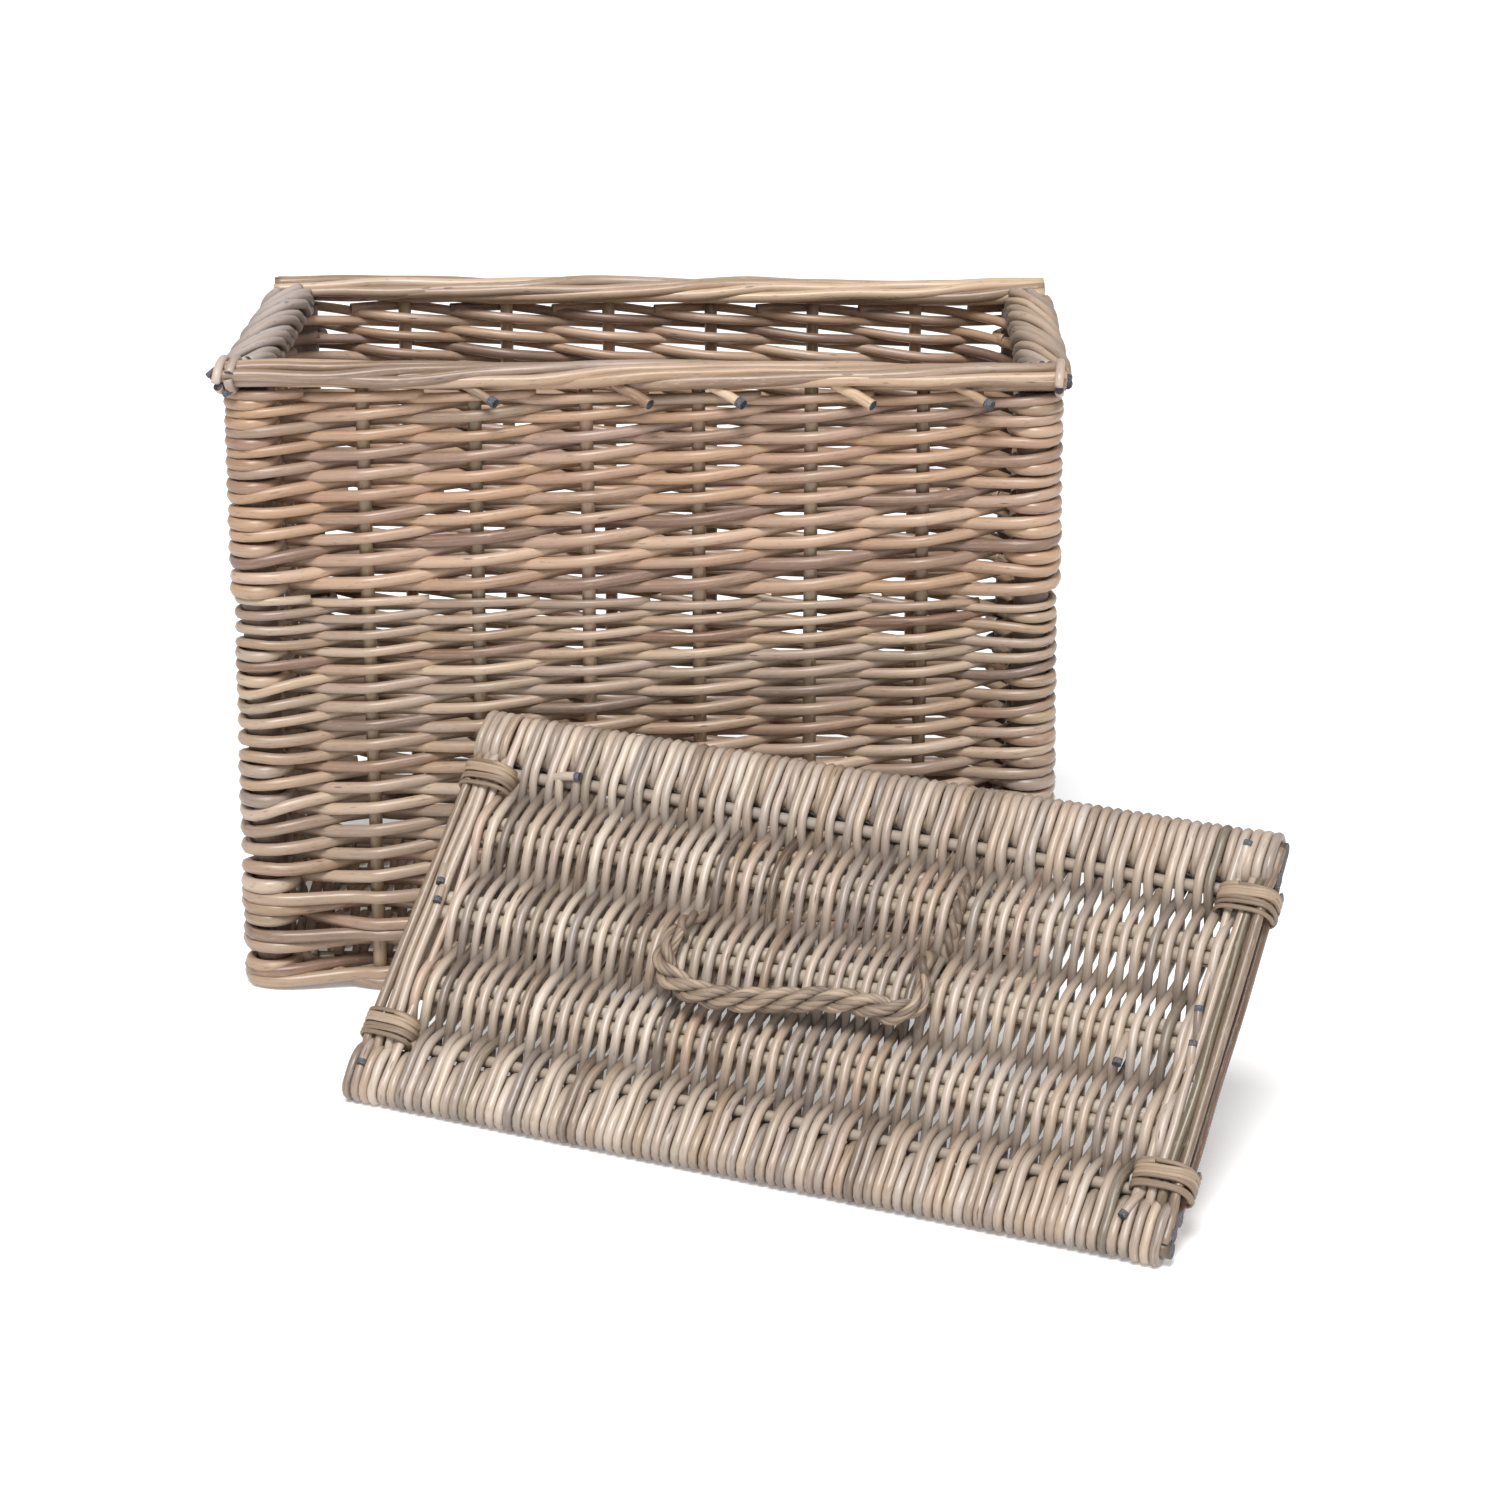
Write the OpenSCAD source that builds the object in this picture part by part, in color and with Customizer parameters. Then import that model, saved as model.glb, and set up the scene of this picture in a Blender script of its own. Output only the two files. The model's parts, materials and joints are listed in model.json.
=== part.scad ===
// Narrow willow laundry hamper. A rectangular basket is woven round upright stakes and four
// thick corner posts, and finished with a rod border. A loose woven lid with a twisted rope
// handle leans against the front wall.
// Millimetres, +Z up. The origin is the centre of the base, on the floor. The front wall is at -Y.

/* [Basket] */
// Width over the woven walls, left to right
basket_w = 470; // [440:2:500]
// Depth over the woven walls, front to back
basket_d = 248; // [230:2:270]
// Height from the floor to the top of the border
basket_h = 375; // [350:1:400]
// Diameter of each corner post
post_d = 20; // [17:0.5:22]
// Diameter of each upright stake
stake_d = 8; // [6:0.5:9]
// Stakes in the front wall, and in the back wall
long_stakes = 6; // [4:2:8]
// Stakes in each short wall
short_stakes = 3; // [3:2:5]

/* [Weave] */
// Height of the thick wale that forms the foot
foot_h = 26; // [20:1:32]
// Height of the seam between the two bands of weaving
seam_h = 238; // [200:1:260]
// Courses in the foot
foot_courses = 3; // [2:1:4]
// Courses in the lower band
lower_courses = 34; // [30:2:38]
// Courses in the upper band
upper_courses = 20; // [16:2:22]
// Height of the lowest course of the lower band, where the rods are at their butts
lower_butt = 7.9; // [7.4:0.1:8.4]
// Height of the lowest course of the upper band
upper_butt = 6.6; // [6.2:0.1:7]
// Thickness of the rods in the foot and the lower band
weave_t = 5; // [4:0.1:5.5]
// Thickness of the rods in the upper band, which stands a little prouder
upper_t = 6; // [5:0.1:6.5]

/* [Border] */
// Diameter of each border rod
rim_rod_d = 7.4; // [6.8:0.1:8]
// Distance that the border stands out past the walls
rim_overhang = 5; // [4:0.5:7]
// Diameter of the cut rod tails under the front border
tail_d = 6; // [4:0.5:7]

/* [Base] */
// Long sticks in the base
base_sticks_n = 5; // [3:2:7]
// Short weavers across the base
base_weavers = 57; // [41:2:61]

/* [Lid] */
// Length of the lid
lid_l = 479; // [440:1:490]
// Width of the lid
lid_b = 244; // [236:1:252]
// Diameter of the lid sticks
lid_stick_d = 8.4; // [7.4:0.1:8.4]
// Thickness of the lid weavers
lid_weave_t = 4.4; // [3.8:0.1:4.6]
// Weavers across the lid
lid_weavers = 81; // [61:4:89]
// Distance between neighbouring pairs of inner sticks
pair_gap = 49.5; // [46:0.5:52]
// Lean of the lid from the horizontal
lid_lean = 44.1; // [40:0.1:48]
// Turn of the lid about the vertical
lid_yaw = -24.8; // [-30:0.2:-22]
// Centre of the leaning lid, to the right of the basket's centre
lid_x = 94.7; // [80:0.1:110]
// Centre of the leaning lid, in front of the basket's centre
lid_out = 306.8; // [302:0.1:330]

/* [Handle] */
// Diameter of the twisted rope handle
rope_d = 14; // [13:0.5:17]
// Distance between the handle's two legs, centre to centre
handle_span = 136; // [120:2:140]
// Reach of the handle from its hinge line to the middle of the grip
handle_reach = 36; // [30:1:48]
// Angle between the lid and the resting handle
handle_rest = 8; // [6:1:14]

/* [Hidden] */
$fn = 48;
gap = 0.1;
half_w = basket_w / 2;
half_d = basket_d / 2;
stake_r = stake_d / 2;
post_r = post_d / 2;

// Walls: each wall is drawn along X with its stakes on Y = 0 and its outside towards -Y.
weave_reach = (stake_r + gap) / cos(14) + weave_t;
long_plane = half_d - weave_reach;
short_plane = half_w - weave_reach;
post_in = weave_t + gap + 0.1 + post_r;
post_x = half_w - post_in;
post_y = half_d - post_in;
long_pitch = 2 * post_x / (long_stakes + 1);
short_pitch = 2 * post_y / (short_stakes + 1);

// Border
rim_r = rim_rod_d / 2;
rim_arch = (basket_d / 2 + rim_overhang) - long_plane - rim_r;
rim_rise = 9;
rim_spring = basket_h - rim_r - rim_rise;
weave_top = snap(rim_spring - rim_r - 0.1, 0.01);
stake_top = rim_spring - 0.5;
post_top = rim_spring - rim_r - 0.5;
tail_len = 7;
tail_spots = [-0.36, 0.005, 0.225, 0.53, 0.81];

// Base
base_half_y = long_plane - weave_reach - 1.5;
base_half_x = post_x - post_r - 1;
base_stick_d = 8;
base_weave_t = 4.5;
base_step = 2 * (base_half_y - 9) / (base_sticks_n - 1);
base_mid = base_weave_t + gap + base_stick_d / 2;

// Lid, drawn flat: X along its length, +Y towards its upper edge, +Z out of its upper face
lid_r = lid_stick_d / 2;
edge_gap = 0.3;
edge_r = lid_r + edge_gap + lid_weave_t;
edge_first = lid_b / 2 - edge_r;
edge_step = lid_stick_d + 0.1;
edge_sticks = 3;
thin_d = 7;
thin_y = edge_first - (edge_sticks - 1) * edge_step - lid_r - thin_d / 2 - 2.4;
pair_half = lid_stick_d / 2 + 0.1;
end_rod_d = 7;
end_rod_z = lid_r + 0.05 + end_rod_d / 2;
end_rod_x = lid_l / 2 - 6;
binding_t = 2.4;
binding_y = 79;
binding_turns = 6;
binding_turn_w = 3.4;
weave_half_l = end_rod_x - 1.5 * end_rod_d - binding_t - 1.6;
lid_pitch = snap(2 * weave_half_l / lid_weavers, 0.02);
lid_lift = 0.3;
lid_z = edge_r + lid_lift + edge_first * sin(lid_lean);

// Handle
rope_r = rope_d / 2;
hinge_y = 3;
hinge_z = edge_r + rope_r + 0.6;
pin_r = 3;
pin_bore_r = 3.1;
lug_x = (2 * ceil(((handle_span / 2 + rope_r + 4) / lid_pitch - 1) / 2) + 1) * lid_pitch;
lug_t = lid_pitch - 1.2;
grip_bend = 24;

wood_light = [0.78, 0.69, 0.58];
wood_mid = [0.69, 0.58, 0.46];
wood_dark = [0.52, 0.43, 0.35];
wood_grey = [0.66, 0.61, 0.56];

// ---- outlines ----

function unit(v) = v / norm(v);
function side(v) = [-v[1], v[0]];
function way_in(p, i) = unit(p[i] - p[i - 1]);
function way_out(p, i) = unit(p[i + 1] - p[i]);
function normal_at(p, i) =
    i == 0 ? side(way_out(p, 0))
    : i == len(p) - 1 ? side(way_in(p, i))
    : let (a = side(way_in(p, i)), b = side(way_out(p, i))) (a + b) / (1 + a * b);

// A band of even thickness along a line of points
module band(p, t) {
    last = len(p) - 1;
    polygon(concat(
        [for (i = [0:last]) p[i] + normal_at(p, i) * t / 2],
        [for (i = [last:-1:0]) p[i] - normal_at(p, i) * t / 2]));
}

// ---- walls ----

// Where a course that passes outside the left post bends round it to the corner
function post_bend(px, py, t) =
    let (r = (post_r + gap) / cos(10) + t / 2)
    [for (a = [-43, -28, -9, 10]) [-px + r * sin(a), py - r * cos(a)]];

function mirrored(p) = [for (i = [len(p) - 1:-1:0]) [-p[i][0], p[i][1]]];

// A course's stretch past the stakes: outward at every second one
function stake_run(n, pitch, amp, first) =
    [for (i = [0:n - 1]) [(i - (n - 1) / 2) * pitch, (i % 2 == 0 ? first : -first) * amp]];

// The end of a course that passes inside the left post, cut just short of it
function post_tuck(px, py, pitch, amp, x1) =
    let (x = -px + post_r + 1.2, s = (x - x1) / (-px - x1))
    [[x, -amp + 2 * amp * s]];

// One course. Its left end is outside the post when outer is true.
module course(n, pitch, px, py, t, outer) {
    amp = (stake_r + gap) / cos(14) + t / 2;
    first = outer ? 1 : -1;
    run = stake_run(n, pitch, amp, first);
    left = outer ? post_bend(px, py, t) : post_tuck(px, py, pitch, amp, run[0][0]);
    right_outer = n % 2 == 0 ? !outer : outer;
    right = right_outer
        ? mirrored(post_bend(px, py, t))
        : mirrored(post_tuck(px, py, pitch, amp, run[0][0]));
    band(concat(left, run, right), t);
}

function snap(v, step) = round(v / step) * step;

// Height of the bottom of course c when n courses fill h and the first is butt high
function course_z(c, n, h, butt) =
    let (fall = 2 * (butt * n - h) / (n * (n - 1))) snap(c * butt - fall * c * (c - 1) / 2, 0.01);

// A band of courses, each drawn at its own height
module courses(n, z0, z1, butt, t, stakes, pitch, px, py, odd) {
    h = z1 - z0;
    for (c = [0:n - 1])
        translate([0, 0, z0 + course_z(c, n, h, butt)])
            linear_extrude(course_z(c + 1, n, h, butt) - course_z(c, n, h, butt))
                course(stakes, pitch, px, py, t, (c + odd) % 2 == 0);
}

module long_wall(n, z0, z1, butt, t, odd) {
    translate([0, -long_plane, 0])
        courses(n, z0, z1, butt, t, long_stakes, long_pitch, post_x, long_plane - post_y, odd);
}

module short_wall(n, z0, z1, butt, t, odd) {
    rotate(-90)
        translate([0, -short_plane, 0])
            courses(n, z0, z1, butt, t, short_stakes, short_pitch, post_y, short_plane - post_x, odd);
}

// The walls of one band. The short walls bend round the posts in step with the long ones.
module front_courses(n, z0, z1, butt, t) long_wall(n, z0, z1, butt, t, 0);
module back_courses(n, z0, z1, butt, t) mirror([0, 1, 0]) long_wall(n, z0, z1, butt, t, 0);
module left_courses(n, z0, z1, butt, t) short_wall(n, z0, z1, butt, t, 0);
module right_courses(n, z0, z1, butt, t) mirror([1, 0, 0]) short_wall(n, z0, z1, butt, t, 1);

foot_butt = foot_h / foot_courses;

module foot_front() color(wood_mid) front_courses(foot_courses, 0, foot_h, foot_butt, weave_t);
module foot_back() color(wood_mid) back_courses(foot_courses, 0, foot_h, foot_butt, weave_t);
module foot_left() color(wood_mid) left_courses(foot_courses, 0, foot_h, foot_butt, weave_t);
module foot_right() color(wood_mid) right_courses(foot_courses, 0, foot_h, foot_butt, weave_t);

module lower_weave_front() color(wood_light)
    front_courses(lower_courses, foot_h, seam_h, lower_butt, weave_t);
module lower_weave_back() color(wood_light)
    back_courses(lower_courses, foot_h, seam_h, lower_butt, weave_t);
module lower_weave_left() color(wood_light)
    left_courses(lower_courses, foot_h, seam_h, lower_butt, weave_t);
module lower_weave_right() color(wood_light)
    right_courses(lower_courses, foot_h, seam_h, lower_butt, weave_t);

module upper_weave_front() color(wood_mid)
    front_courses(upper_courses, seam_h, weave_top, upper_butt, upper_t);
module upper_weave_back() color(wood_mid)
    back_courses(upper_courses, seam_h, weave_top, upper_butt, upper_t);
module upper_weave_left() color(wood_mid)
    left_courses(upper_courses, seam_h, weave_top, upper_butt, upper_t);
module upper_weave_right() color(wood_mid)
    right_courses(upper_courses, seam_h, weave_top, upper_butt, upper_t);

// ---- posts and stakes ----

module post(sx, sy) color(wood_dark)
    translate([sx * post_x, sy * post_y, 0])
        cylinder(h = post_top, r = post_r);

module post_front_left() post(-1, -1);
module post_front_right() post(1, -1);
module post_back_left() post(-1, 1);
module post_back_right() post(1, 1);

module stake_row(n, pitch, plane) color(wood_dark)
    for (i = [0:n - 1])
        translate([(i - (n - 1) / 2) * pitch, -plane, 2])
            cylinder(h = stake_top - 2, r = stake_r);

module stakes_front() stake_row(long_stakes, long_pitch, long_plane);
module stakes_back() rotate(180) stake_row(long_stakes, long_pitch, long_plane);
module stakes_left() rotate(-90) stake_row(short_stakes, short_pitch, short_plane);
module stakes_right() rotate(90) stake_row(short_stakes, short_pitch, short_plane);

// ---- border ----

// Rods laid side by side over the tops of the stakes
module border_rods(length) color(wood_mid)
    for (a = [0:36:180])
        translate([-length / 2, -rim_arch * cos(a), rim_spring + rim_rise * sin(a)])
            rotate([0, 90, 0])
                cylinder(h = length, r = rim_r);

border_long = 2 * (half_w + rim_overhang);
border_short = 2 * (long_plane - rim_arch - rim_r - 0.2);

module border_front() translate([0, -long_plane, 0]) border_rods(border_long);
module border_back() rotate(180) translate([0, -long_plane, 0]) border_rods(border_long);
module border_left() rotate(-90) translate([0, -short_plane, 0]) border_rods(border_short);
module border_right() rotate(90) translate([0, -short_plane, 0]) border_rods(border_short);

// Cut tails of the border rods, on the face of the weave just under the border
module border_tails() color([0.36, 0.38, 0.42])
    for (s = tail_spots)
        translate([s * half_w, -long_plane - (stake_r + gap) / cos(14) - upper_t - 0.2, weave_top - tail_d / 2])
            rotate([90, 0, 0])
                cylinder(h = tail_len, r = tail_d / 2);

// ---- base ----

module base_sticks() color(wood_dark)
    for (i = [0:base_sticks_n - 1])
        translate([-base_half_x, (i - (base_sticks_n - 1) / 2) * base_step, base_mid])
            rotate([0, 90, 0])
                cylinder(h = 2 * base_half_x, d = base_stick_d);

// One weaver across the base: under the middle stick when under is true
module base_weaver(under) {
    amp = base_stick_d / 2 + gap + base_weave_t / 2;
    half_n = (base_sticks_n - 1) / 2;
    flat = 5;
    inner = [for (i = [-half_n:half_n], e = [-1, 1])
        [i * base_step + e * flat, ((i % 2 == 0) == under ? -1 : 1) * amp]];
    ends = concat([[-base_half_y, inner[0][1]]],
        [for (i = [1:len(inner) - 2]) inner[i]],
        [[base_half_y, inner[len(inner) - 1][1]]]);
    band(ends, base_weave_t);
}

module base_weave() color(wood_light) {
    pitch = snap(2 * base_half_x / base_weavers, 0.02);
    half_n = (base_weavers - 1) / 2;
    for (k = [-half_n:half_n])
        translate([(k - 0.5) * pitch, 0, base_mid])
            rotate([90, 0, 90])
                linear_extrude(pitch)
                    base_weaver(k % 2 == 0);
}

// ---- lid ----

// Moves a piece from the flat lid to where the lid leans on the front wall
module lean() {
    translate([lid_x, -lid_out, lid_z])
        rotate([0, 0, lid_yaw])
            rotate([lid_lean, 0, 0])
                children();
}

module lid_stick(y, d, half) {
    translate([-half, y, 0])
        rotate([0, 90, 0])
            cylinder(h = 2 * half, d = d);
}

module edge_bundle(s) {
    for (i = [0:edge_sticks - 1])
        lid_stick(s * (edge_first - i * edge_step), lid_stick_d, lid_l / 2 - 2.5);
    lid_stick(s * thin_y, thin_d, weave_half_l);
}

module lid_pair(y) {
    lid_stick(y - pair_half, lid_stick_d, lid_l / 2 - 8);
    lid_stick(y + pair_half, lid_stick_d, lid_l / 2 - 8);
}

module lid_edge_sticks_lower() color(wood_dark) lean() edge_bundle(-1);
module lid_edge_sticks_upper() color(wood_dark) lean() edge_bundle(1);
module lid_pair_lower() color(wood_dark) lean() lid_pair(-pair_gap);
module lid_pair_middle() color(wood_dark) lean() lid_pair(0);
module lid_pair_upper() color(wood_dark) lean() lid_pair(pair_gap);

// One weaver: over both edge bundles when s is 1 and under them when s is -1. Each end turns
// round its bundle and comes back on the other face.
function lid_half_run(s, t) =
    let (r = lid_r + gap + t / 2, e = lid_r + edge_gap + t / 2, flat = 6)
    concat(
        [[pair_gap - flat, -s * r], [pair_gap + flat, -s * r], [thin_y - 1, s * e]],
        [for (a = [90:-30:-90]) [edge_first + e * cos(a), s * e * sin(a)]],
        [[edge_first - 2.2 * edge_step, -s * e]]);

module lid_weaver(s) {
    t = s > 0 ? lid_weave_t : lid_weave_t - 0.5;
    r = lid_r + gap + t / 2;
    right = lid_half_run(s, t);
    flat = 6;
    band(concat(
        [for (i = [len(right) - 1:-1:0]) [-right[i][0], right[i][1]]],
        [[-flat, s * r], [flat, s * r]],
        right), t);
}

module lid_weave() color(wood_light) lean() {
    half_n = (lid_weavers - 1) / 2;
    for (k = [-half_n:half_n])
        translate([(k - 0.5) * lid_pitch, 0, 0])
            rotate([90, 0, 90])
                linear_extrude(lid_pitch)
                    lid_weaver(k % 2 == 0 ? 1 : -1);
}

// Rods across each end, on both faces of the sticks
module end_rods(s) {
    for (i = [0:1], f = [-1, 1]) {
        length = f > 0 ? lid_b - 24 : lid_b - 44;
        translate([s * (end_rod_x - end_rod_d / 2 + 3.5 - i * (end_rod_d + 0.1)), length / 2, f * end_rod_z])
            rotate([90, 0, 0])
                cylinder(h = length, d = end_rod_d);
    }
}

module lid_end_rods_left() color(wood_light) lean() end_rods(-1);
module lid_end_rods_right() color(wood_light) lean() end_rods(1);

// Turns of split willow that tie the end rods together
module binding(sx, sy) {
    x1 = end_rod_x + end_rod_d / 2 + 0.1;
    x0 = end_rod_x - 1.5 * end_rod_d - 0.2;
    z1 = end_rod_z + end_rod_d / 2 + 0.1;
    y0 = binding_y - binding_turns * binding_turn_w / 2;
    for (k = [0:binding_turns - 1]) {
        t = binding_t - (k % 2) * 0.5;
        translate([0, sy * (y0 + k * binding_turn_w + binding_turn_w / 2) + binding_turn_w / 2, 0])
            rotate([90, 0, 0])
                linear_extrude(binding_turn_w)
                    difference() {
                        translate([sx > 0 ? x0 - t : -x1 - t, -z1 - t])
                            square([x1 - x0 + 2 * t, 2 * (z1 + t)]);
                        translate([sx > 0 ? x0 : -x1, -z1])
                            square([x1 - x0, 2 * z1]);
                    }
    }
}

module lid_binding_lower_left() color(wood_grey) lean() binding(-1, -1);
module lid_binding_upper_left() color(wood_grey) lean() binding(-1, 1);
module lid_binding_lower_right() color(wood_grey) lean() binding(1, -1);
module lid_binding_upper_right() color(wood_grey) lean() binding(1, 1);

// ---- handle ----

// A lug on the middle pair of sticks, with the pin that the handle turns on
module handle_anchor(s) color(wood_grey) lean() {
    seat = lid_r + 0.1;
    translate([s * lug_x - lug_t / 2, 0, 0])
        rotate([90, 0, 90])
            linear_extrude(lug_t) {
                translate([hinge_y, hinge_z])
                    circle(r = 6);
                translate([hinge_y - 6, seat])
                    square([12, hinge_z - seat]);
            }
    translate([s * lug_x, hinge_y, hinge_z])
        rotate([0, -90 * s, 0])
            cylinder(h = lug_x - handle_span / 2 + 2, r = pin_r);
}

module handle_anchor_left() handle_anchor(-1);
module handle_anchor_right() handle_anchor(1);

// The handle as a round rope: two short legs, two bends and a grip
module handle_shape() {
    half = handle_span / 2;
    for (s = [-1, 1]) {
        difference() {
            union() {
                translate([s * half, 0, 0])
                    sphere(r = rope_r);
                translate([s * half, 0, 0])
                    rotate([90, 0, 0])
                        cylinder(h = handle_reach - grip_bend, r = rope_r);
            }
            translate([s * (half + rope_r + 1), 0, 0])
                rotate([0, -90 * s, 0])
                    cylinder(h = rope_r + 5.5, r = pin_bore_r);
        }
        translate([s * (half - grip_bend), grip_bend - handle_reach, 0])
            rotate([0, 0, s > 0 ? -90 : 180])
                rotate_extrude(angle = 90)
                    translate([grip_bend, 0])
                        circle(r = rope_r);
    }
    translate([-half + grip_bend, -handle_reach, 0])
        rotate([0, 90, 0])
            cylinder(h = handle_span - 2 * grip_bend, r = rope_r);
}

module handle_rope() color(wood_light) lean()
    translate([0, hinge_y, hinge_z])
        rotate([-handle_rest, 0, 0])
            handle_shape();

post_front_left();
post_front_right();
post_back_left();
post_back_right();
stakes_front();
stakes_back();
stakes_left();
stakes_right();
foot_front();
foot_back();
foot_left();
foot_right();
lower_weave_front();
lower_weave_back();
lower_weave_left();
lower_weave_right();
upper_weave_front();
upper_weave_back();
upper_weave_left();
upper_weave_right();
border_front();
border_back();
border_left();
border_right();
border_tails();
base_sticks();
base_weave();
lid_edge_sticks_lower();
lid_edge_sticks_upper();
lid_pair_lower();
lid_pair_middle();
lid_pair_upper();
lid_weave();
lid_end_rods_left();
lid_end_rods_right();
lid_binding_lower_left();
lid_binding_upper_left();
lid_binding_lower_right();
lid_binding_upper_right();
handle_anchor_left();
handle_anchor_right();
handle_rope();
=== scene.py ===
"""The looks of a narrow willow laundry hamper: woven walls, a rod border, and a loose woven lid."""
import json
import math

import bpy
import numpy as np
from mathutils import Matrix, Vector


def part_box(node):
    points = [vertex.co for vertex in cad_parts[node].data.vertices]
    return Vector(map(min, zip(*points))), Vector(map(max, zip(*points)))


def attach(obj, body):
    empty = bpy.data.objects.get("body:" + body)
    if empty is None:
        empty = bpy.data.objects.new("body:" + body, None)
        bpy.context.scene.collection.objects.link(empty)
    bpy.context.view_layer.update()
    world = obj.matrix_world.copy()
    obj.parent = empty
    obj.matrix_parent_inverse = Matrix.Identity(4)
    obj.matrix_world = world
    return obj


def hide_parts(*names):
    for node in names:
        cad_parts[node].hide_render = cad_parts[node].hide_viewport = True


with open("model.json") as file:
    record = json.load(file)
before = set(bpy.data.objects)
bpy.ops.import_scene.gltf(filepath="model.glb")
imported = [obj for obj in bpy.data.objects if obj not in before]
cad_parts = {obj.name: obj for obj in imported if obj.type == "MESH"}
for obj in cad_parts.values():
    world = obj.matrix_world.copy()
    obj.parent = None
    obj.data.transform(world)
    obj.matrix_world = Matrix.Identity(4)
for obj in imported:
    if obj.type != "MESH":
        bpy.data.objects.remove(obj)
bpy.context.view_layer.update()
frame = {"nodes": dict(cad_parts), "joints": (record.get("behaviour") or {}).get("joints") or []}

MM = 0.001
rng = np.random.default_rng(11)

# Counts, as on the real hamper
LONG_STAKES = 6
SHORT_STAKES = 3
UPSETT_ROWS = 5
LOWER_COURSES = 30
UPPER_COURSES = 20
PLAIT_RODS = 14
BINDING_TURNS = 6
ROPE_STRANDS = 3
ROPE_FIBRES = 6
BASE_STICKS = 5
BASE_WEAVERS = 57
LID_WEAVERS = 105

# Sizes in metres
LOWER_BUTT = 7.3 * MM       # height of the lowest course of the lower band
UPPER_BUTT = 6.6 * MM       # height of the lowest course of the upper band
ROD_FILL = 1.12             # a rod's diameter as a share of its course's height
SHORT_TURNS = 0.55          # share of the posts' free courses that get a short turn
STRAY = 0.5 * MM            # how far a wall rod strays from its course
FOOT_ROD = 4.0 * MM         # radius of a rod of the foot
BORDER_ROD = 3.7 * MM       # radius of a border rod
BORDER_RODS = 7             # rods twisted together in a long side of the border
BORDER_LAY = 520 * MM       # length in which they go once round each other
PLAIT_ROD = 2.95 * MM        # radius of a rod laid over a short side
PLAIT_SPAN = 100 * MM       # length of border that such a rod crosses
BORDER_LIFT = 0.5 * MM      # how far the border's lowest rods lie above the CAD border's lowest
TAIL_ROD = 2.9 * MM         # radius of a cut tail
STICK_R = 4.2 * MM          # radius of a lid stick
STICK_STEP = 8.5 * MM       # spacing of the sticks in an edge bundle
THIN_R = 3.3 * MM           # radius of the thin stick beside each bundle
LID_ROD = 2.85 * MM         # radius of a lid weaver between the edges
EDGE_ROD = 2.75 * MM        # radius of a weaver where it turns round an edge
END_ROD = 3.1 * MM          # radius of a rod across the lid's end
LEVEL_RUN = 4.6 * MM        # half the length over which a weaver stays level on a pair of sticks
SLANT = 3.9 * MM            # how far a lid weaver leans from one pair of sticks to the next
EDGE_SHIFT = (0.7, -0.3, 0.03, 0.36)   # where each of four weavers reaches an edge, in pitches
BINDING_ROD = 1.35 * MM     # radius of a turn of split willow
BINDING_WIDTH = 31 * MM     # width of a binding along the lid
ROPE_R = 7 * MM             # radius of the rope handle
STRAND_LAY = 50 * MM        # length of rope in which a strand goes once round
NEAR = 0.13                 # share of a gap over which a wall rod bends round a stake
STEPS = 10                  # vertices of a wall rod between one support and the next

Z = np.array([0.0, 0.0, 1.0])


# ---- small helpers -------------------------------------------------------------------------

def unit(v):
    """Vectors of length one along v."""
    v = np.asarray(v, float)
    return v / np.maximum(np.linalg.norm(v, axis=-1, keepdims=True), 1e-12)


def smooth_path(knots, points, at):
    """A curve without corners through the points. knots are their places along it, and at
    holds the places wanted."""
    knots, points = np.asarray(knots, float), np.asarray(points, float)
    slope = np.gradient(points, knots, axis=0)
    i = np.clip(np.searchsorted(knots, at, side="right") - 1, 0, len(knots) - 2)
    span = (knots[i + 1] - knots[i])[:, None]
    t = (at - knots[i])[:, None] / span
    return ((2 * t**3 - 3 * t**2 + 1) * points[i] + (t**3 - 2 * t**2 + t) * span * slope[i]
            + (3 * t**2 - 2 * t**3) * points[i + 1] + (t**3 - t**2) * span * slope[i + 1])


def through(points, step):
    """A smooth curve through the points, with a vertex about every step."""
    points = np.asarray(points, float)
    knots = np.r_[0, np.cumsum(np.linalg.norm(np.diff(points, axis=0), axis=1))]
    return smooth_path(knots, points, np.linspace(0, knots[-1], max(int(knots[-1] / step), 2) + 1))


def along(path):
    """Distance along a path at each of its points."""
    return np.r_[0, np.cumsum(np.linalg.norm(np.diff(path, axis=0), axis=1))]


def wobble(s, amount, wave):
    """A gentle random wander along s, as a natural rod has."""
    a, b = rng.uniform(0, 2 * math.pi, 2)
    return amount * (0.7 * np.sin(2 * math.pi * s / wave + a)
                     + 0.3 * np.sin(5.3 * math.pi * s / wave + b))


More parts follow.
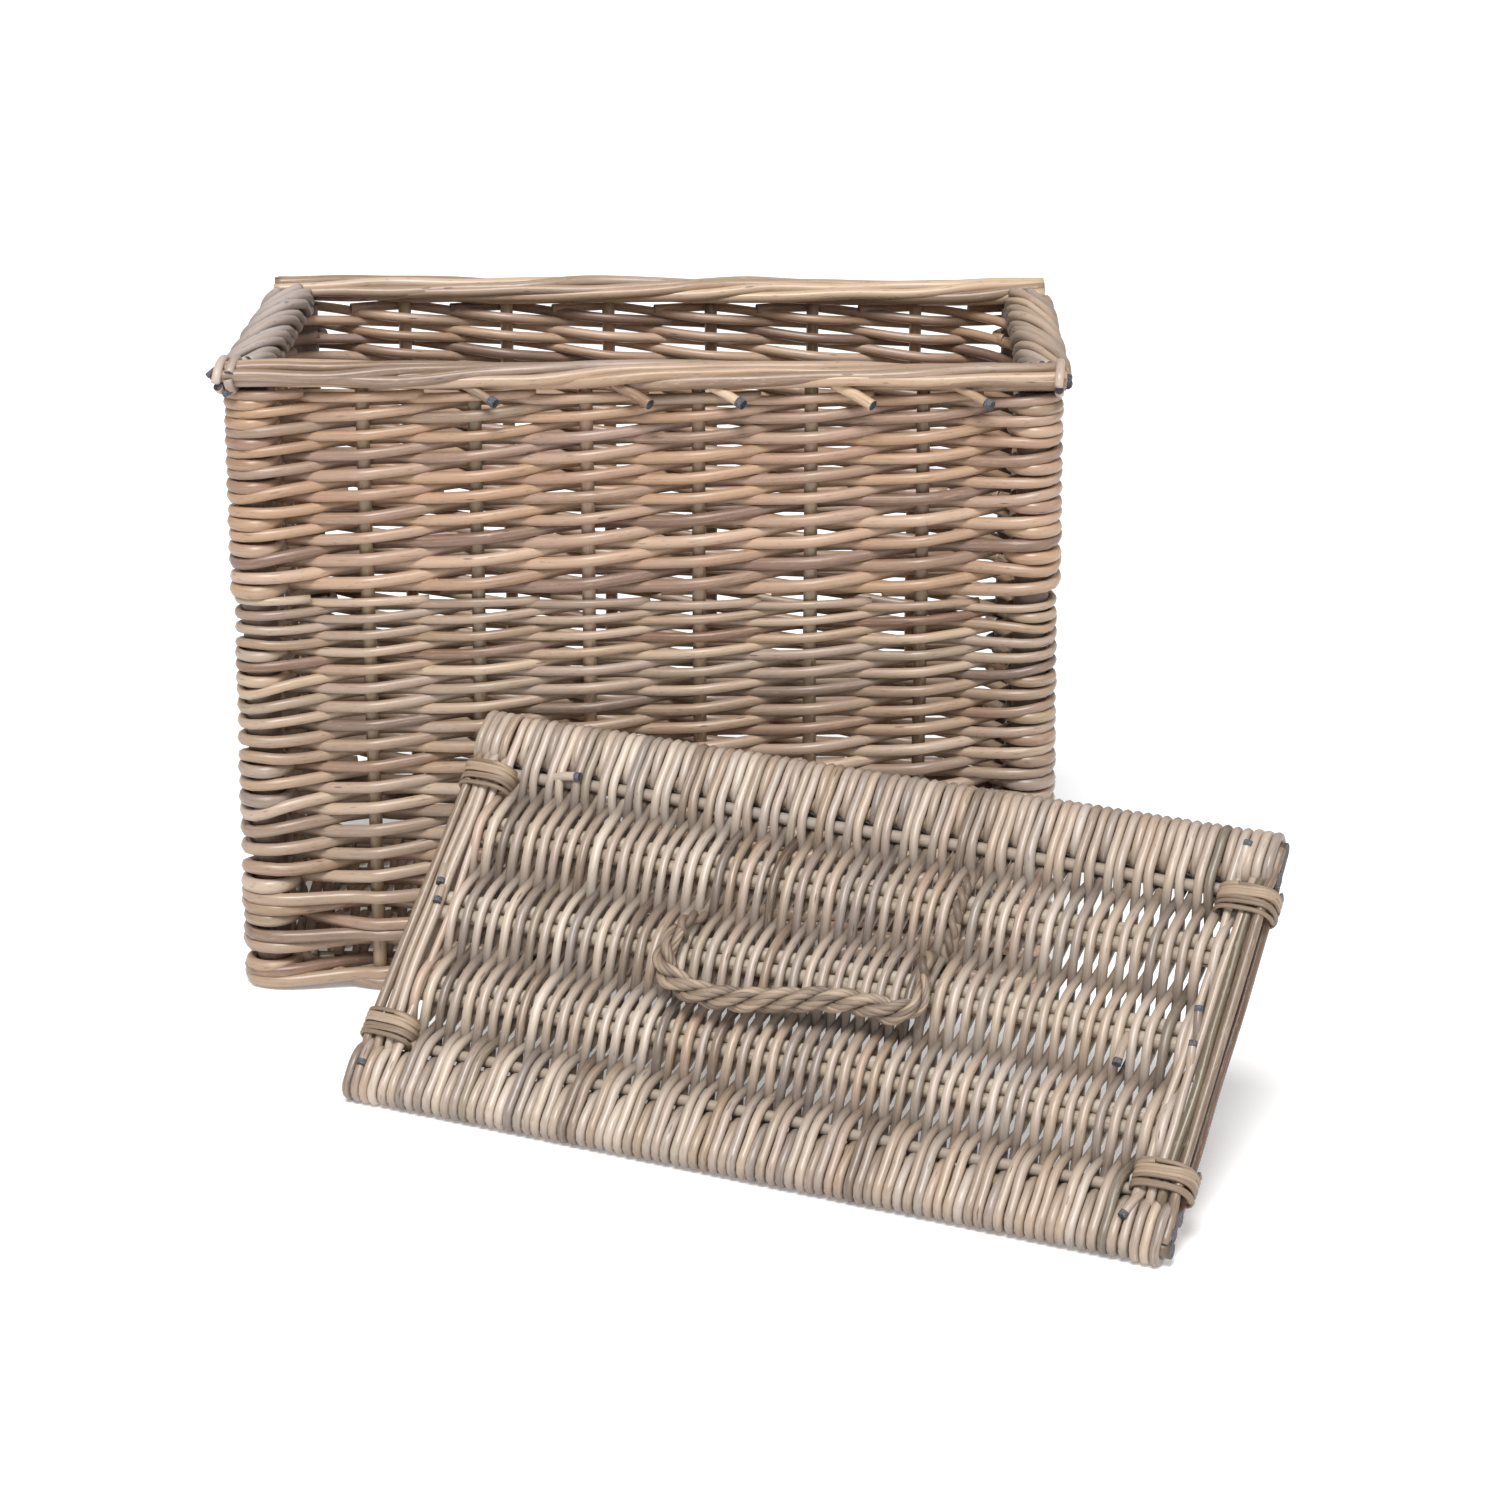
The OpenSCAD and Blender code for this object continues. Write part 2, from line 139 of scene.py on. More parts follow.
class Rods:
    """Willow rods gathered into one mesh. Each has its own tone and grain, and cut ends."""

    def __init__(self, sides=8):
        self.sides, self.count = sides, 0
        self.verts, self.quads, self.caps, self.tones, self.grain = [], [], [], [], []

    def add(self, path, radius, up=Z, flat=1.0, tone=None, grey=0.0, dirt=0.0):
        """A rod along path. flat squeezes it across, up stays the upper side of its section.
        The darkening, one value or one for each point, is painted shade where the rod lies in crevices
        or under other rods, and dark ends on the lid's edge sticks."""
        n, m = len(path), self.sides
        radius = np.broadcast_to(np.asarray(radius, float), (n,))
        ahead = unit(np.gradient(path, axis=0))
        across = unit(np.cross(ahead, np.broadcast_to(up, path.shape)))
        above = np.cross(across, ahead)
        angle = 2 * math.pi * np.arange(m) / m
        ring = (np.cos(angle)[None, :, None] * across[:, None] * flat
                + np.sin(angle)[None, :, None] * above[:, None])
        self.verts.append((path[:, None] + ring * radius[:, None, None]).reshape(-1, 3))
        i, j = np.meshgrid(np.arange(n - 1), np.arange(m), indexing="ij")
        k = (j + 1) % m
        corners = np.stack([i * m + j, i * m + k, (i + 1) * m + k, (i + 1) * m + j], -1)
        self.quads.append(self.count + corners.reshape(-1, 4))
        s = along(path)
        u = np.stack([s[i], s[i], s[i + 1], s[i + 1]], -1)
        v = np.stack([j, j + 1, j + 1, j], -1) / m
        self.grain.append(np.stack([u, v], -1).reshape(-1, 2))
        self.caps.append(self.count + np.arange(m)[::-1])
        self.caps.append(self.count + (n - 1) * m + np.arange(m))
        tone = rng.beta(2.2, 2.2) if tone is None else tone
        look = np.tile([tone, grey, rng.uniform(), 1.0], (n * m, 1))
        # The alpha channel holds one minus the darkening: painted shade in crevices and under rods, and
        # dark stick ends.
        look[:, 3] = np.repeat(np.broadcast_to(1 - np.asarray(dirt), (n,)), m)
        self.tones.append(look)
        self.count += n * m

    def build(self, name, body, slot, materials, replaces):
        """Makes the mesh, and puts it on a body in place of its CAD nodes."""
        quads = np.concatenate(self.quads)
        mesh = bpy.data.meshes.new(name)
        mesh.from_pydata(np.concatenate(self.verts).tolist(), [],
                         quads.tolist() + [c.tolist() for c in self.caps])
        layer = mesh.uv_layers.new(name="grain")
        flat_uv = np.zeros((len(mesh.loops), 2), np.float32)
        flat_uv[:quads.size] = np.concatenate(self.grain)
        layer.data.foreach_set("uv", flat_uv.ravel())
        tones = mesh.color_attributes.new("tone", "FLOAT_COLOR", "POINT")
        tones.data.foreach_set("color", np.concatenate(self.tones).astype(np.float32).ravel())
        is_cap = np.arange(len(mesh.polygons)) >= len(quads)
        mesh.polygons.foreach_set("use_smooth", ~is_cap)
        mesh.polygons.foreach_set("material_index", is_cap.astype(np.int32))
        for material in materials:
            mesh.materials.append(material)
        mesh.update()
        piece = bpy.data.objects.new(name, mesh)
        bpy.context.scene.collection.objects.link(piece)
        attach(piece, body)
        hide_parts(*replaces)
        return piece


# ---- where things are, read from the frame -------------------------------------------------

def box(node):
    low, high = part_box(node)
    return np.array(low), np.array(high)


class Ring:
    """The posts and stakes in order round the basket, from the front left post to the right."""

    def __init__(self):
        sides = [("post_front_left", "stakes_front", (0, -1), (1, 0)),
                 ("post_front_right", "stakes_right", (1, 0), (0, 1)),
                 ("post_back_right", "stakes_back", (0, 1), (-1, 0)),
                 ("post_back_left", "stakes_left", (-1, 0), (0, -1))]
        self.centre, self.radius, self.before, self.after, self.post = [], [], [], [], []
        self.stakes = {}
        normal = np.array(sides[-1][2], float)
        for post, stakes, out, way in sides:
            before, normal = normal, np.array(out, float)
            low, high = box(post)
            self._support((low + high)[:2] / 2, (high - low)[0] / 2, before, normal, True)
            low, high = box(stakes)
            middle, way = (low + high)[:2] / 2, np.array(way, float)
            r = abs((high - low)[:2] @ normal) / 2
            half = abs((high - low)[:2] @ way) / 2 - r
            count = LONG_STAKES if stakes in ("stakes_front", "stakes_back") else SHORT_STAKES
            self.stakes[stakes.split("_")[1]] = range(len(self.centre), len(self.centre) + count)
            for t in np.linspace(-half, half, count):
                self._support(middle + t * way, r, normal, normal, False)
        self.size = len(self.centre)

    def _support(self, centre, radius, before, after, post):
        self.centre.append(centre)
        self.radius.append(radius)
        self.before.append(before)
        self.after.append(after)
        self.post.append(post)

    def path(self, u, outside, reach):
        """Plan of a rod at the places u, counted in supports. outside(k) is its side of support
        k, and reach(k) its distance from that support's face."""
        knots, points = [], []
        for k in range(math.floor(u[0]) - 2, math.ceil(u[-1]) + 3):
            i = k % self.size
            r = self.radius[i] + reach(k)
            corner = unit(self.before[i] + self.after[i])
            centre = self.centre[i]
            if not self.post[i]:
                way = self.after[i] if outside(k) else -self.after[i]
                before = self.centre[(k - 1) % self.size] - centre
                after = self.centre[(k + 1) % self.size] - centre
                places = [(-NEAR, centre + NEAR * before + way * r * 0.83), (0, centre + way * r),
                          (NEAR, centre + NEAR * after + way * r * 0.83)]
            elif outside(k):
                places = [(-0.16, centre + self.before[i] * r), (0, centre + corner * r),
                          (0.16, centre + self.after[i] * r)]
            else:
                places = [(0, centre - corner * r)]
            for shift, point in places:
                knots.append(k + shift)
                points.append(point)
        return smooth_path(knots, points, u)


class LidFrame:
    """The lid's own axes: x along it, y up its slope, z out of its upper face."""

    def __init__(self):
        joints = {j["name"]: j for j in frame["joints"]}
        self.z = unit(joints["lid_lift_off"]["axis"])
        self.x = -unit(joints["handle_swing"]["axis"])
        self.y = np.cross(self.z, self.x)
        low, high = box("lid_pair_middle")
        self.centre = (low + high) / 2
        self.hinge = self.inside(joints["handle_swing"]["pos_m"])

    def inside(self, p):
        """Row-frame points in the lid's axes."""
        return (np.asarray(p) - self.centre) @ np.stack([self.x, self.y, self.z], 1)

    def place(self, p):
        """Points in the lid's axes, moved to the row frame."""
        return self.centre + np.asarray(p, float) @ np.stack([self.x, self.y, self.z])

    def extent(self, node):
        """Lowest and highest corner of a CAD node in the lid's axes."""
        mesh = frame["nodes"][node].data
        points = self.inside(np.array([v.co for v in mesh.vertices]))
        return points.min(0), points.max(0)


ring = Ring()
lid = LidFrame()
floor_z = box("foot_front")[0][2]
seam_z = box("upper_weave_front")[0][2]
foot_top = box("lower_weave_front")[0][2]
weave_top = box("upper_weave_front")[1][2]
PAIR_GAP = sum(e[1] for e in lid.extent("lid_pair_upper")) / 2
EDGE_Y = lid.extent("lid_edge_sticks_upper")[1][1] - STICK_R
THIN_Y = lid.extent("lid_edge_sticks_upper")[0][1] + THIN_R


# ---- materials -----------------------------------------------------------------------------

def srgb(r, g, b):
    """A colour given as 0 to 255 sRGB, as the linear value that nodes take."""
    c = np.array([r, g, b]) / 255
    return tuple(np.where(c <= 0.04045, c / 12.92, ((c + 0.055) / 1.055) ** 2.4)) + (1.0,)


RED, OLIVE = (158, 104, 78), (150, 142, 112)                # tints of a few rods
# The last of these is the colour that rods darken towards: painted shade in crevices and under other
# rods, and dark ends on the lid's edge sticks.
BUD, SPECK, GRIME_AND_SHADE = (58, 44, 37), (74, 58, 49), (58, 46, 39)
TINT = 0.24                                                 # strength of a tint


class Nodes:
    """Makes and joins shader nodes with few words."""

    def __init__(self, name):
        self.material = bpy.data.materials.new(name)
        self.material.use_nodes = True
        self.tree = self.material.node_tree
        self.shader = self.tree.nodes["Principled BSDF"]

    def add(self, kind, inputs=None, **settings):
        node = self.tree.nodes.new(kind)
        for key, value in settings.items():
            setattr(node, key, value)
        for key, value in (inputs or {}).items():
            if isinstance(value, bpy.types.NodeSocket):
                self.tree.links.new(value, node.inputs[key])
            else:
                node.inputs[key].default_value = value
        return node

    def math(self, operation, a, b=0.0):
        return self.add("ShaderNodeMath", {0: a, 1: b}, operation=operation).outputs[0]

    def mix(self, factor, a, b, blend="MIX"):
        return self.add("ShaderNodeMix", {0: factor, 6: a, 7: b},
                        data_type="RGBA", blend_type=blend).outputs[2]

    def band(self, value, low, high, start=0.0, end=1.0):
        """value from low to high becomes start to end, with soft shoulders."""
        return self.add("ShaderNodeMapRange", {0: value, 1: low, 2: high, 3: start, 4: end},
                        interpolation_type="SMOOTHSTEP").outputs[0]

    def link(self, output, socket):
        self.tree.links.new(output, self.shader.inputs[socket])


def willow(name, pale, mid, deep, grey, roughness=0.36, fibre=1.0, vivid=1.0):
    """Washed willow: a tone for each rod, streaks along it, bud marks and a thin pale bloom."""
    n = Nodes(name)
    tone = n.add("ShaderNodeVertexColor", layer_name="tone")
    split = n.add("ShaderNodeSeparateColor", {0: tone.outputs["Color"]})
    own, wash, seed = split.outputs[0], split.outputs[1], split.outputs[2]
    uv = n.add("ShaderNodeUVMap", uv_map="grain")
    flat = n.add("ShaderNodeSeparateXYZ", {0: uv.outputs[0]})
    turn = n.math("MULTIPLY", flat.outputs[1], 2 * math.pi)
    lane = n.math("MULTIPLY", seed, 37.0)

    def cylinder(length_scale, round_scale):
        """Coordinates on the rod that meet without a seam."""
        return n.add("ShaderNodeCombineXYZ", {
            0: n.math("ADD", n.math("MULTIPLY", flat.outputs[0], length_scale), lane),
            1: n.math("MULTIPLY", n.math("SINE", turn), round_scale),
            2: n.math("ADD", n.math("MULTIPLY", n.math("COSINE", turn), round_scale), lane),
        }).outputs[0]

    streak = n.add("ShaderNodeTexNoise", {"Vector": cylinder(22, 2.6 * fibre), "Scale": 1.0,
                                          "Detail": 5.0, "Roughness": 0.62}).outputs[0]
    blotch = n.add("ShaderNodeTexNoise", {"Vector": cylinder(9, 0.35), "Scale": 1.0,
                                          "Detail": 2.0}).outputs[0]
    buds = n.add("ShaderNodeTexVoronoi", {"Vector": cylinder(26, 0.55), "Scale": 1.0,
                                          "Randomness": 1.0}).outputs["Distance"]
    bud = n.band(buds, 0.10, 0.05)
    tint = n.math("ADD", n.math("MULTIPLY", own, 0.75), n.math("MULTIPLY", blotch, 0.35))
    base = n.mix(n.band(tint, 0.2, 0.6), srgb(*deep), srgb(*mid))
    base = n.mix(n.band(tint, 0.55, 0.95), base, srgb(*pale))
    base = n.mix(n.band(streak, 0.5, 0.82, 0, 0.55), base, srgb(*pale))
    base = n.mix(n.band(streak, 0.46, 0.2, 0, 0.5), base, srgb(*deep))
    for colour, low, high in ((srgb(*RED), 0.16, 0.06), (srgb(*OLIVE), 0.84, 0.94)):
        base = n.mix(n.math("MULTIPLY", n.band(seed, low, high), TINT * vivid), base, colour)
    base = n.mix(n.math("ADD", wash, n.band(blotch, 0.52, 0.75, 0, 0.35)), base, srgb(*grey))
    base = n.mix(n.math("MULTIPLY", bud, 0.7), base, srgb(*BUD))
    speck = n.add("ShaderNodeTexNoise", {"Vector": cylinder(150, 3.2 * fibre), "Scale": 1.0,
                                         "Detail": 2.0}).outputs[0]
    base = n.mix(n.band(speck, 0.6, 0.74, 0, 0.42), base, srgb(*SPECK))
    base = n.mix(n.band(speck, 0.4, 0.28, 0, 0.3), base, srgb(*pale))
    # Darken towards that colour by the alpha channel: painted shade in crevices and under other rods, and
    # dark ends on the lid's edge sticks.
    base = n.mix(tone.outputs["Alpha"], srgb(*GRIME_AND_SHADE), base)
    n.link(base, "Base Color")
    n.link(n.band(streak, 0.25, 0.75, roughness - 0.07, roughness + 0.1), "Roughness")
    height = n.math("SUBTRACT", n.math("MULTIPLY", streak, 0.5), n.math("MULTIPLY", bud, 0.6))
    bump = n.add("ShaderNodeBump", {"Height": height, "Strength": 0.35, "Distance": 0.0006})
    n.link(bump.outputs[0], "Normal")
    n.shader.inputs["Specular IOR Level"].default_value = 0.6
    return n.material


def cut_end(name):
    """The dark, weathered end grain of a cut rod."""
    n = Nodes(name)
    place = n.add("ShaderNodeNewGeometry").outputs["Position"]
    grain = n.add("ShaderNodeTexNoise", {"Vector": place, "Scale": 1400.0, "Detail": 4.0}).outputs[0]
    n.link(n.mix(n.band(grain, 0.3, 0.7), srgb(58, 60, 68), srgb(118, 118, 122)), "Base Color")
    bump = n.add("ShaderNodeBump", {"Height": grain, "Strength": 0.6, "Distance": 0.0005})
    n.link(bump.outputs[0], "Normal")
    n.shader.inputs["Roughness"].default_value = 0.85
    return n.material


CUT = cut_end("cut_ends")
POST = willow("post_willow", (150, 126, 108), (118, 98, 86), (84, 68, 60), (134, 120, 114),
              roughness=0.55, fibre=1.6, vivid=0)
PEELED = willow("peeled_sticks", (214, 203, 188), (184, 168, 148), (136, 119, 103), (184, 178, 170),
                roughness=0.28, vivid=0)
STICK = willow("stick_willow", (194, 170, 144), (161, 135, 110), (106, 84, 67), (168, 156, 146))
WEAVE = willow("weave_willow", (206, 182, 154), (171, 143, 117), (112, 88, 71), (168, 154, 146))
UPPER = willow("upper_willow", (208, 176, 144), (178, 144, 114), (120, 91, 72), (168, 146, 140))
BORDER = willow("border_willow", (214, 187, 157), (182, 151, 122), (124, 98, 79), (192, 178, 171))
LID = willow("lid_willow", (216, 199, 181), (172, 149, 127), (90, 70, 54), (186, 174, 166),
             roughness=0.33)
SPLIT = willow("split_willow", (186, 163, 138), (148, 125, 104), (96, 78, 64), (160, 150, 142),
               roughness=0.5, fibre=2.6, vivid=0)


# ---- the basket ----------------------------------------------------------------------------

def upright(rods, centre, low, high, radius, **look):
    """A post or stake, very slightly bent."""
    z = np.linspace(low, high, 28)
    path = np.stack([centre[0] + wobble(z, 0.25 * MM, 0.3), centre[1] + wobble(z, 0.25 * MM, 0.3), z], 1)
    rods.add(path, radius * (1 + wobble(z, 0.02, 0.2)), up=np.array([1.0, 0, 0]), **look)


def posts_and_stakes():
    for name in ("front_left", "front_right", "back_left", "back_right"):
        low, high = box("post_" + name)
        rods = Rods(16)
        upright(rods, (low + high) / 2, low[2], high[2], (high - low)[0] / 2, tone=0.4)
        rods.build("post_" + name, "basket", "post_willow", (POST, CUT), ["post_" + name])
    for name in ("front", "right", "back", "left"):
        low, high = box("stakes_" + name)
        rods = Rods(10)
        for i in ring.stakes[name]:
            upright(rods, ring.centre[i], low[2], high[2], ring.radius[i])
        rods.build("stakes_" + name, "basket", "stick_willow", (STICK, CUT), ["stakes_" + name])


def even_out(z):
    """Heights that settle to even gaps where rods crowd round a post."""
    z = np.array(z)
    for _ in range(12):
        z[1:-1] += 0.5 * ((z[:-2] + z[2:]) / 2 - z[1:-1])
    return z


def randing(rods, bottom, top, count, butt, greys):
    """French randing: a rod starts at each support and climbs one course at each gap, in front
    of one stake and behind the next, while it thins from its butt to its tip. At the posts,
    short turns fill the wider gaps."""
    fall = 2 * (butt * count - (top - bottom)) / (count * (count - 1))

    def level(c):
        c = np.minimum(c, count - 0.5)
        return butt * c - fall * c * (c - 1) / 2

    def radius(c):
        c = np.clip(c, 0, count - 1)
        return ROD_FILL / 2 * (level(c + 0.5) - level(c - 0.5))

    settled = {}
    for k in [i for i in range(ring.size) if ring.post[i]]:
        outer = [c for c in range(count) if c % 2 == 1 or rng.uniform() < SHORT_TURNS]
        z = even_out([bottom + level(c + 0.5) for c in outer])
        for c, height in zip(outer, z):
            settled[k, c] = height - bottom - level(c + 0.5)
            if c % 2 == 0:
                short_turn(rods, k, height, radius(c) * 1.12, rng.uniform(*greys))

    for start in range(ring.size):
        u = np.arange(start - 0.35, start + count - 0.35, 1 / STEPS)
        c = u - start
        plan = ring.path(u, lambda k: (k - start) % 2 == 1 and k > start,
                         lambda k: radius(k - start) * 0.92)
        z = bottom + level(np.maximum(c, 0) + 0.5) + wobble(u, STRAY, 3.1)
        for k in range(start, start + count):
            if (k % ring.size, k - start) in settled and (k - start) % 2 == 1:
                z += settled[k % ring.size, k - start] * np.exp(-((u - k) / 0.3) ** 2)
        rods.add(np.c_[plan, z], radius(c) * (rng.uniform(0.92, 1.06) + wobble(u, 0.03, 2.3)),
                 flat=0.94, grey=rng.uniform(*greys))


def short_turn(rods, k, z, radius, grey):
    """A turn that goes once round a corner post, with its ends inside the basket."""
    inner = -unit(ring.before[k] + ring.after[k])
    first = math.atan2(inner[1], inner[0])
    a = np.linspace(-0.1, 2 * math.pi + 0.1, 30) + first
    r = ring.radius[k] + radius * 0.85
    path = np.stack([ring.centre[k][0] + r * np.cos(a), ring.centre[k][1] + r * np.sin(a),
                     z + np.linspace(-1, 1, len(a)) * 0.8 * MM], 1)
    rods.add(path, radius, flat=0.85, grey=grey)


def wale(rods, bottom, radius, phase, rise):
    """One rod of a three-rod wale: in front of two supports and behind the third. It starts near
    the back wall's first stake and climbs by rise times its radius as it goes behind. Where it
    passes inside a post, a short turn goes round the post."""
    start = ring.stakes["back"][0] // 3 * 3 + phase
    u = np.arange(start - 0.4, start + ring.size + 0.4, 1 / STEPS)
    knots = np.arange(start - 3, start + ring.size + 4)
    lift = np.array([0.0, 0.62, 1.0])[(knots - phase) % 3]
    z = smooth_path(knots, (bottom + radius * (1 + rise * lift))[:, None], u)[:, 0]
    plan = ring.path(u, lambda k: (k - phase) % 3 != 2, lambda k: radius * 0.95)
    rods.add(np.c_[plan, z + wobble(u, 0.4 * MM, 4.3)], radius * (1 + wobble(u, 0.05, 7.0)),
             grey=rng.uniform(0, 0.3))
    for k in range(start, start + ring.size):
        if ring.post[k % ring.size] and (k - phase) % 3 == 2:
            short_turn(rods, k % ring.size, float(np.interp(k, u, z)), radius * 1.05, rng.uniform(0, 0.3))


def walls():
    foot = Rods()
    for phase in range(3):
        wale(foot, floor_z + 0.4 * MM, FOOT_ROD, phase, 2.2)
    upsett = foot_top - 5 * MM
    for row in range(UPSETT_ROWS):
        wale(foot, upsett + row * 2 * FOOT_ROD * 0.97, FOOT_ROD, row, 0.5)
    upsett += UPSETT_ROWS * 2 * FOOT_ROD * 0.97
    foot.build("foot_wale", "basket", "weave_willow", (WEAVE, CUT),
               ["foot_front", "foot_back", "foot_left", "foot_right"])
    lower = Rods()
    randing(lower, upsett, seam_z, LOWER_COURSES, LOWER_BUTT, (0, 0.5))
    lower.build("lower_weave", "basket", "weave_willow", (WEAVE, CUT),
                ["lower_weave_front", "lower_weave_back", "lower_weave_left", "lower_weave_right"])
    upper = Rods()
    randing(upper, seam_z, weave_top, UPPER_COURSES, UPPER_BUTT, (0, 0.35))
    upper.build("upper_weave", "basket", "upper_willow", (UPPER, CUT),
                ["upper_weave_front", "upper_weave_back", "upper_weave_left", "upper_weave_right"])


# ---- the border ----------------------------------------------------------------------------

class Rim:
    """The border of one side: along it, across it from the inside out, and up."""

    def __init__(self, side, along_side, out):
        self.low, self.high = box("border_" + side)
        self.along, self.out = np.array(along_side + (0,), float), np.array(out + (0,), float)
        size = self.high - self.low
        self.half = abs(size @ self.along) / 2
        self.middle = (self.low + self.high) / 2 * (1, 1, 0)
        self.arch = abs(size @ self.out) / 2
        self.top = self.high[2]
        self.bottom = self.low[2] + BORDER_LIFT

    def place(self, s, across, z):
        s, across, z = np.broadcast_arrays(s, across, z)
        return self.middle + s[:, None] * self.along + across[:, None] * self.out + z[:, None] * Z


def long_border(rods, rim):
    """Rods twisted slowly round each other along the border, as wide as the arch they lie on."""
    across = rim.arch - BORDER_ROD
    middle = (rim.top + rim.bottom) / 2
    up = (rim.top - rim.bottom) / 2 - BORDER_ROD
    s = np.linspace(-rim.half, rim.half, 110)
    for k in range(BORDER_RODS):
        a = 2 * math.pi * (k / BORDER_RODS + s / BORDER_LAY) + wobble(s, 0.42, 0.21)
        r = BORDER_ROD * (rng.uniform(0.86, 1.04) + wobble(s, 0.1, 0.31))
        keep = (s > -rim.half + rng.uniform(0, 4) * MM) & (s < rim.half - rng.uniform(0, 4) * MM)
        sag = wobble(s, 0.9 * MM, 0.26)
        rods.add(rim.place(s, across * np.cos(a), middle + up * np.sin(a) + sag)[keep], r[keep],
                 grey=rng.uniform(0, 0.15), tone=rng.uniform(0.1, 0.9))
    for core in (-0.45, 0.45):
        rods.add(rim.place(s[3:-3], core * across, middle - 1 * MM), 4.4 * MM, tone=0.0)


def short_border(rods, rim, greys):
    """Rods laid over the end at a long slant, from the inside at the back to the outside at the
    front. Each starts on top of the one before it, and its end goes under the one after it."""
    wide = rim.arch - 0.6 * BORDER_ROD
    tall = rim.top - rim.bottom - 2 * PLAIT_ROD
    t = np.linspace(-0.1, 1.1, 40)
    for start in np.linspace(-rim.half - 0.8 * PLAIT_SPAN, rim.half - 0.2 * PLAIT_SPAN, PLAIT_RODS):
        span = PLAIT_SPAN * rng.uniform(0.85, 1.15)
        s = start + rng.uniform(-5, 5) * MM + span * t + wobble(t, 1.5 * MM, 0.9)
        keep = np.abs(s) < rim.half + 2 * MM
        across = -wide * np.clip(1.1 * np.cos(math.pi * t) + wobble(t, 0.06, 0.8), -1.03, 1.03)
        lift = np.sin(math.pi * np.clip(t, 0, 1)) ** 0.6
        z = rim.bottom - 4 * MM + (tall + 3 * MM) * lift + (2.4 * np.cos(math.pi * t) - 0.8) * MM * lift
        # Painted shade: each rod is darker towards its ends, low on the inner and outer faces where the
        # next rods cover it, and lighter where it rises over the top.
        dirt = 0.16 + 0.4 * np.abs(np.cos(math.pi * t)) ** 3 - 0.16 * lift
        rods.add(rim.place(s, across, z + PLAIT_ROD)[keep], PLAIT_ROD * rng.uniform(0.85, 1.12),
                 grey=rng.uniform(*greys), dirt=dirt[keep])
    s = np.linspace(-rim.half, rim.half, 40)
    for core in (-0.5, 0, 0.5):
        # Painted shade on the core rods that lie under the plait.
        rods.add(rim.place(s, core * wide, rim.bottom - 1 * MM), 3.4 * MM, tone=0.0, dirt=0.5)


def corner_wrap(rods, rim, at, turns):
    """Turns of a rod round the end of the front border."""
    wide, tall = rim.arch + 0.6 * MM, (rim.top - rim.bottom) / 2 + 0.4 * MM
    middle = (rim.top + rim.bottom) / 2 - 0.6 * MM
    for turn in range(turns):
        a = np.linspace(-0.15, 2 * math.pi - 0.5, 34) + 0.6 * turn
        s = at + (turn * 6.5 + 2.5 * np.sin(a / 2)) * MM
        rods.add(rim.place(s, wide * np.cos(a), middle + tall * np.sin(a)), 2.6 * MM, up=rim.along,
                 grey=0.5)


def border():
    rods = Rods(10)
    front = Rim("front", (1, 0), (0, -1))
    long_border(rods, front)
    corner_wrap(rods, front, -front.half + 4 * MM, 2)
    corner_wrap(rods, front, front.half - 9 * MM, 1)
    long_border(rods, Rim("back", (-1, 0), (0, 1)))
    short_border(rods, Rim("left", (0, -1), (-1, 0)), (0.75, 1.0))
    short_border(rods, Rim("right", (0, -1), (1, 0)), (0.1, 0.6))
    rods.build("border", "basket", "border_willow", (BORDER, CUT),
               ["border_front", "border_back", "border_left", "border_right"])


# Dark tips at the front border's left end: mm along, outward and up
CORNER_TIPS = ((1, 9, 6), (4, 13, 1), (-1, 12, 8), (8, 14.5, -2), (3, 6, -1))


def border_tails():
    """Cut tails that poke out under the front border, where the CAD has them, and the small
    dark tips at its left end."""
    mesh = frame["nodes"]["border_tails"].data
    x = np.sort(np.array([v.co.x for v in mesh.vertices]))
    groups = np.split(x, np.flatnonzero(np.diff(x) > 15 * MM) + 1)
    low, high = box("border_tails")
    rods, dark = Rods(12), Rods(12)
    for group in groups:
        tip = np.array([group.mean() + 4 * MM, low[1] - 1 * MM, (low[2] + high[2]) / 2 - 1 * MM])
        root, bend = tip + np.array([-22, 14, 9]) * MM, tip + np.array([-8, 6, 3.6]) * MM
        path = through([root, bend, tip], 2 * MM)
        rods.add(path, TAIL_ROD * rng.uniform(0.85, 1.1))
        dark.add(path[-3:], TAIL_ROD * 1.04)
    rods.build("border_tails", "basket", "border_willow", (BORDER, CUT), ["border_tails"])
    rim = Rim("front", (1, 0), (0, -1))
    for s, across, z in CORNER_TIPS:
        tip = rim.place(np.array([-rim.half + s * MM]), across * MM, rim.bottom + (z + 1) * MM)[0]
        way = np.array([-0.5, -0.6, -0.35]) + rng.uniform(-0.25, 0.25, 3)
        dark.add(np.array([tip - way * 6 * MM, tip - way * 3 * MM, tip]), TAIL_ROD * 0.6)
    dark.build("cut_tips", "basket", "cut_ends", (CUT, CUT), [])


# ---- the base ------------------------------------------------------------------------------

